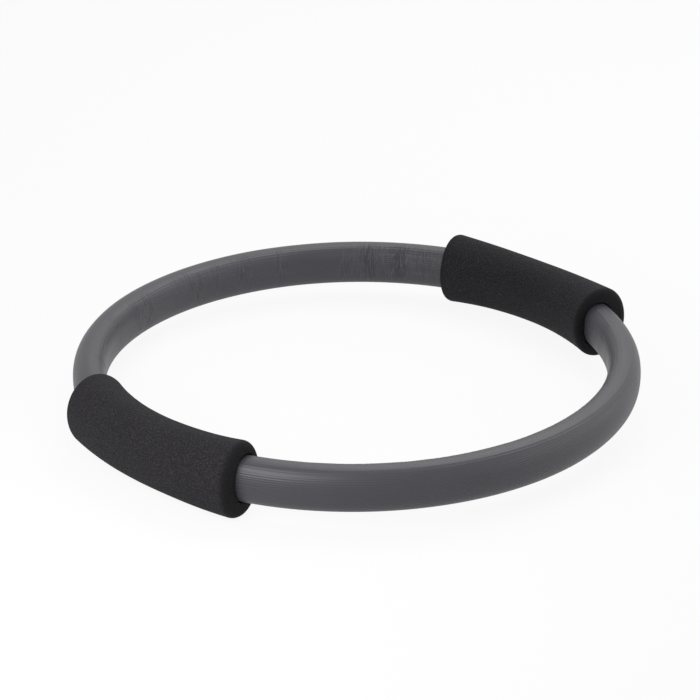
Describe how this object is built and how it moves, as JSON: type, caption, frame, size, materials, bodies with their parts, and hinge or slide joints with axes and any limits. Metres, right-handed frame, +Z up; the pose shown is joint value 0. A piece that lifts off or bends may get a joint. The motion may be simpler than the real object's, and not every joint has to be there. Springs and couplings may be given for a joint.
{
  "type": "pilates ring",
  "caption": "Round sprung exercise hoop in a grey foam cover with two opposite black foam grips, squeezed between hands or legs.",
  "frame": {"origin": "centre of the hoop, on the surface that the grips' flats rest on", "axes": "+Z up along the hoop's axis, -Y to the front grip, +Y to the rear grip, +X to the right side"},
  "size_m": [0.38, 0.3966, 0.0504],
  "materials": {
    "grip_foam": "matte",
    "cover_foam": "satin",
    "glass_fibre": "satin",
    "binding_tape": "matte"
  },
  "bodies": {
    "front_end": {"front_grip": "grip_foam", "cover_front": "cover_foam", "outer_leaf": "glass_fibre", "middle_leaf": "glass_fibre", "inner_leaf": "glass_fibre", "binding_outer_joint": "binding_tape", "binding_inner_joint": "binding_tape"},
    "right_1": {"cover_right_1": "cover_foam"},
    "right_2": {"cover_right_2": "cover_foam", "binding_front_right": "binding_tape"},
    "right_3": {"cover_right_3": "cover_foam"},
    "right_4": {"cover_right_4": "cover_foam"},
    "right_5": {"cover_right_5": "cover_foam"},
    "right_6": {"cover_right_6": "cover_foam", "binding_rear_right": "binding_tape"},
    "right_7": {"cover_right_7": "cover_foam"},
    "rear_end": {"rear_grip": "grip_foam", "cover_rear_right_end": "cover_foam", "cover_rear_left_end": "cover_foam", "binding_middle_joint": "binding_tape"},
    "left_1": {"cover_left_1": "cover_foam"},
    "left_2": {"cover_left_2": "cover_foam", "binding_front_left": "binding_tape"},
    "left_3": {"cover_left_3": "cover_foam"},
    "left_4": {"cover_left_4": "cover_foam"},
    "left_5": {"cover_left_5": "cover_foam"},
    "left_6": {"cover_left_6": "cover_foam"},
    "left_7": {"cover_left_7": "cover_foam", "binding_rear_left": "binding_tape"},
    "left_8": {"cover_left_8": "cover_foam"}
  },
  "joints": [
    {"name": "squeeze", "type": "hinge", "parent": "front_end", "child": "right_1", "pos_m": [0.07681, -0.17378, 0.02494], "axis": [0, 0, -1], "range_deg": [0, 11], "stiffness_Nm_per_rad": 124.1, "deforming": ["outer_leaf", "middle_leaf", "inner_leaf"]},
    {"name": "bend_right_2", "type": "hinge", "parent": "right_1", "child": "right_2", "pos_m": [0.11802, -0.1489, 0.02494], "axis": [0, 0, -1], "range_deg": [0, 11]},
    {"name": "bend_right_3", "type": "hinge", "parent": "right_2", "child": "right_3", "pos_m": [0.14772, -0.08002, 0.02494], "axis": [0, 0, 1], "range_deg": [0, 11]},
    {"name": "bend_right_4", "type": "hinge", "parent": "right_3", "child": "right_4", "pos_m": [0.16477, -0.03276, 0.02494], "axis": [0, 0, 1], "range_deg": [0, 11]},
    {"name": "bend_right_5", "type": "hinge", "parent": "right_4", "child": "right_5", "pos_m": [0.16477, 0.03276, 0.02494], "axis": [0, 0, 1], "range_deg": [0, 11]},
    {"name": "bend_right_6", "type": "hinge", "parent": "right_5", "child": "right_6", "pos_m": [0.14772, 0.08002, 0.02494], "axis": [0, 0, 1], "range_deg": [0, 11]},
    {"name": "bend_right_7", "type": "hinge", "parent": "right_6", "child": "right_7", "pos_m": [0.11802, 0.1489, 0.02494], "axis": [0, 0, -1], "range_deg": [0, 11]},
    {"name": "bend_right_8", "type": "hinge", "parent": "right_7", "child": "rear_end", "pos_m": [0.07681, 0.17378, 0.02494], "axis": [0, 0, -1], "range_deg": [0, 11]},
    {"name": "bend_left_1", "type": "hinge", "parent": "front_end", "child": "left_1", "pos_m": [-0.07681, -0.17378, 0.02494], "axis": [0, 0, 1], "range_deg": [0, 11]},
    {"name": "bend_left_2", "type": "hinge", "parent": "left_1", "child": "left_2", "pos_m": [-0.11802, -0.1489, 0.02494], "axis": [0, 0, 1], "range_deg": [0, 11]},
    {"name": "bend_left_3", "type": "hinge", "parent": "left_2", "child": "left_3", "pos_m": [-0.14772, -0.08002, 0.02494], "axis": [0, 0, -1], "range_deg": [0, 11]},
    {"name": "bend_left_4", "type": "hinge", "parent": "left_3", "child": "left_4", "pos_m": [-0.16477, -0.03276, 0.02494], "axis": [0, 0, -1], "range_deg": [0, 11]},
    {"name": "bend_left_8", "type": "hinge", "parent": "rear_end", "child": "left_8", "pos_m": [-0.07681, 0.17378, 0.02494], "axis": [0, 0, -1], "range_deg": [0, 11]},
    {"name": "bend_left_7", "type": "hinge", "parent": "left_8", "child": "left_7", "pos_m": [-0.11802, 0.1489, 0.02494], "axis": [0, 0, -1], "range_deg": [0, 11]},
    {"name": "bend_left_6", "type": "hinge", "parent": "left_7", "child": "left_6", "pos_m": [-0.14772, 0.08002, 0.02494], "axis": [0, 0, 1], "range_deg": [0, 11]},
    {"name": "bend_left_5", "type": "hinge", "parent": "left_6", "child": "left_5", "pos_m": [-0.16477, 0.03276, 0.02494], "axis": [0, 0, 1], "range_deg": [0, 11]}
  ],
  "couplings": [
    {"joint": "bend_right_2", "follows": "squeeze", "ratio": 1},
    {"joint": "bend_right_3", "follows": "squeeze", "ratio": 1},
    {"joint": "bend_right_4", "follows": "squeeze", "ratio": 1},
    {"joint": "bend_right_5", "follows": "squeeze", "ratio": 1},
    {"joint": "bend_right_6", "follows": "squeeze", "ratio": 1},
    {"joint": "bend_right_7", "follows": "squeeze", "ratio": 1},
    {"joint": "bend_right_8", "follows": "squeeze", "ratio": 1},
    {"joint": "bend_left_1", "follows": "squeeze", "ratio": 1},
    {"joint": "bend_left_2", "follows": "squeeze", "ratio": 1},
    {"joint": "bend_left_3", "follows": "squeeze", "ratio": 1},
    {"joint": "bend_left_4", "follows": "squeeze", "ratio": 1},
    {"joint": "bend_left_8", "follows": "squeeze", "ratio": 1},
    {"joint": "bend_left_7", "follows": "squeeze", "ratio": 1},
    {"joint": "bend_left_6", "follows": "squeeze", "ratio": 1},
    {"joint": "bend_left_5", "follows": "squeeze", "ratio": 1}
  ]
}
